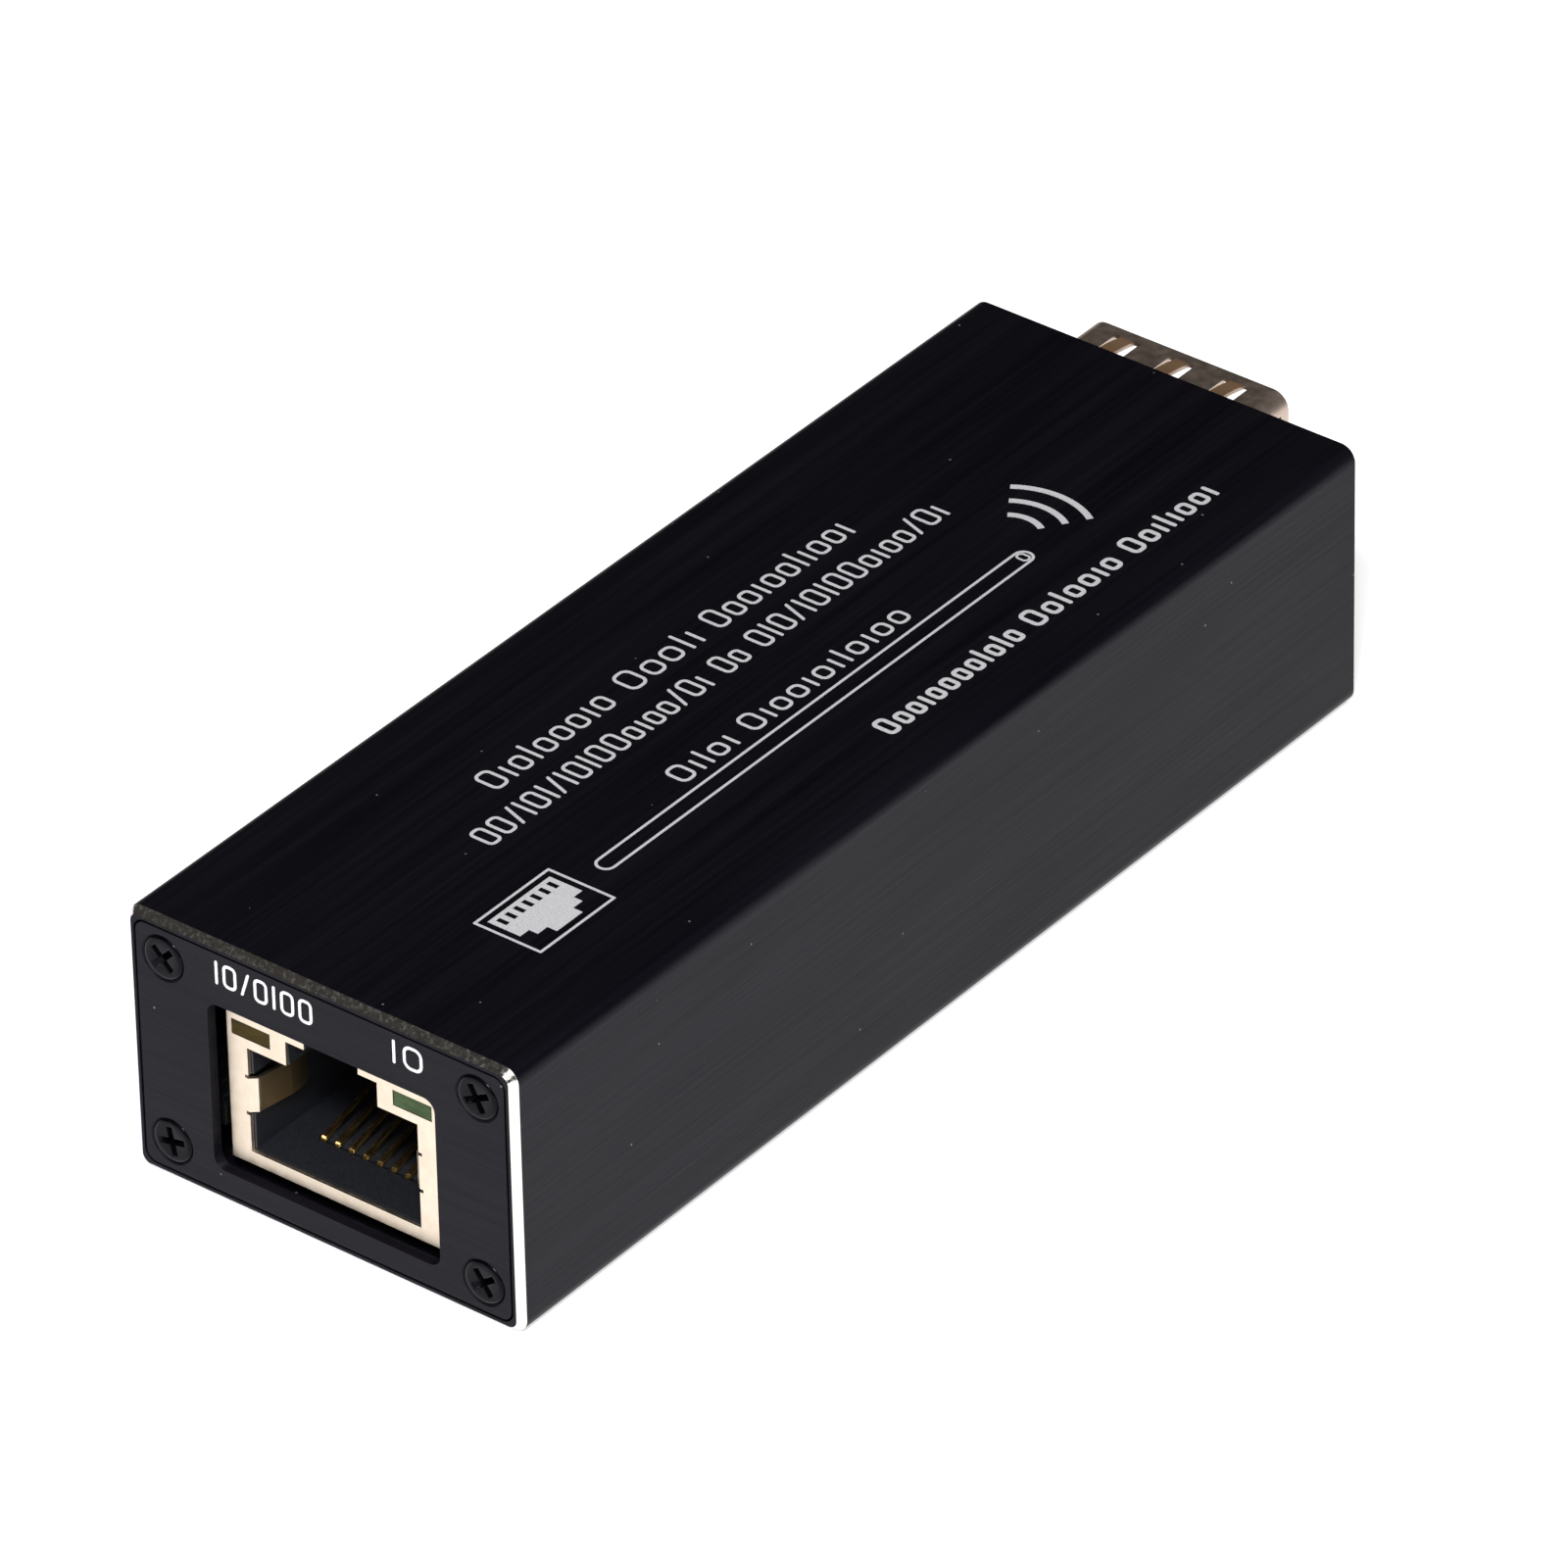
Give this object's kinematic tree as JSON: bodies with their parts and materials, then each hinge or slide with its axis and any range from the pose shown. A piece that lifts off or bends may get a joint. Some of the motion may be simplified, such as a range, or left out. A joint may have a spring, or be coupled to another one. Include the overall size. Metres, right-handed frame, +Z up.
{
  "type": "fibre media converter",
  "caption": "Slim rectangular metal tube closed by screwed end plates, with a twisted-pair socket at one end and an open cage for a pluggable fibre module at the other.",
  "frame": {"origin": "centre of the bounding box's footprint, cage included, on the face that the case rests on", "axes": "+Z up; the socket end faces -Y and the fibre cage faces +Y; +X is to the right seen from the socket end"},
  "size_m": [0.028, 0.0834, 0.018],
  "materials": {
    "anodised_case": "black anodised, brushed along its length",
    "anodised_plate": "black anodised, brushed across",
    "black_screws": "black oxide, glossy",
    "nickel_shield": "matt nickel plate",
    "black_housing": "moulded black",
    "gold_contacts": "gold plate",
    "amber_lamp": "unlit amber lens",
    "green_lamp": "unlit green lens",
    "nickel_cage": "nickel plate",
    "nickel_pin": "nickel plate",
    "solder_mask": "black solder mask",
    "moulded_black": "moulded epoxy",
    "tinned_leads": "tinned",
    "ferrite": "sintered ferrite",
    "capacitor_can": "drawn can",
    "tan_ceramic": "fired ceramic",
    "black_ceramic": "glass-coated",
    "crystal_can": "nickel can",
    "fuse_green": "polymer"
  },
  "bodies": {
    "root": {"case_tube": "anodised_case", "ceramic_capacitors": "tan_ceramic", "chip_resistors": "black_ceramic", "circuit_board": "solder_mask", "converter_chip": "moulded_black", "crystal": "crystal_can", "front_plate": "anodised_plate", "front_plate_screws": "black_screws", "input_capacitor_base": "moulded_black", "input_capacitor_can": "capacitor_can", "line_transformer": "moulded_black", "line_transformer_leads": "tinned_leads", "memory_chip": "moulded_black", "memory_chip_leads": "tinned_leads", "power_inductor": "ferrite", "power_inlet_body": "black_housing", "power_inlet_pin": "nickel_pin", "power_inlet_spring": "nickel_pin", "rear_plate": "anodised_plate", "rear_plate_screws": "black_screws", "regulator_chip": "moulded_black", "resettable_fuse": "fuse_green", "rj45_contacts": "gold_contacts", "rj45_housing": "black_housing", "rj45_lamp_left": "amber_lamp", "rj45_lamp_right": "green_lamp", "rj45_shield": "nickel_shield", "sfp_cage": "nickel_cage", "sfp_cage_floor": "nickel_cage", "sfp_host_connector": "black_housing", "sfp_host_contacts_lower": "gold_contacts", "sfp_host_contacts_upper": "gold_contacts", "surge_diode": "moulded_black"}
  },
  "joints": []
}
